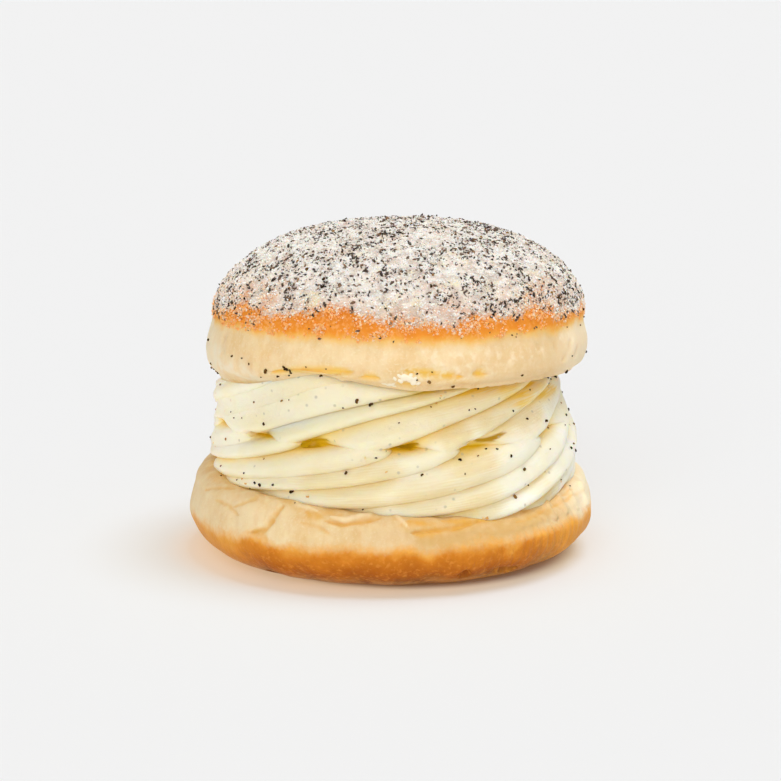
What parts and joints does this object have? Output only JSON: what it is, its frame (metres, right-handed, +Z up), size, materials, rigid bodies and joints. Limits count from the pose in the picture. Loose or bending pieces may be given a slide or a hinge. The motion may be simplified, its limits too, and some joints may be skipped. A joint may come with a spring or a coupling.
{
  "type": "cream-filled doughnut with a poppy seed and sugar crust",
  "caption": "Round fried yeast doughnut cut across and filled with a tall twisted ring of pale cream, its domed top crusted with sugar and poppy seeds.",
  "frame": {"origin": "middle of the underside, on the surface that the doughnut stands on", "axes": "+Z up through the crown, the front towards -Y, +X to the right as seen from the front"},
  "size_m": [0.09, 0.0902, 0.0738],
  "materials": {
    "fried_dough": "soft fried yeast dough: a pale creamy side above a golden brown crust, matt with a faint oily sheen",
    "piped_cream": "smooth pale yellow piped cream with a soft satin sheen and scattered poppy seeds",
    "sugared_crust": "orange-brown crust under white granulated sugar and ground poppy seeds, pale dough below"
  },
  "bodies": {
    "root": {"bottom_bun": "fried_dough", "cream_swirl": "piped_cream", "top_bun": "sugared_crust"}
  },
  "joints": []
}
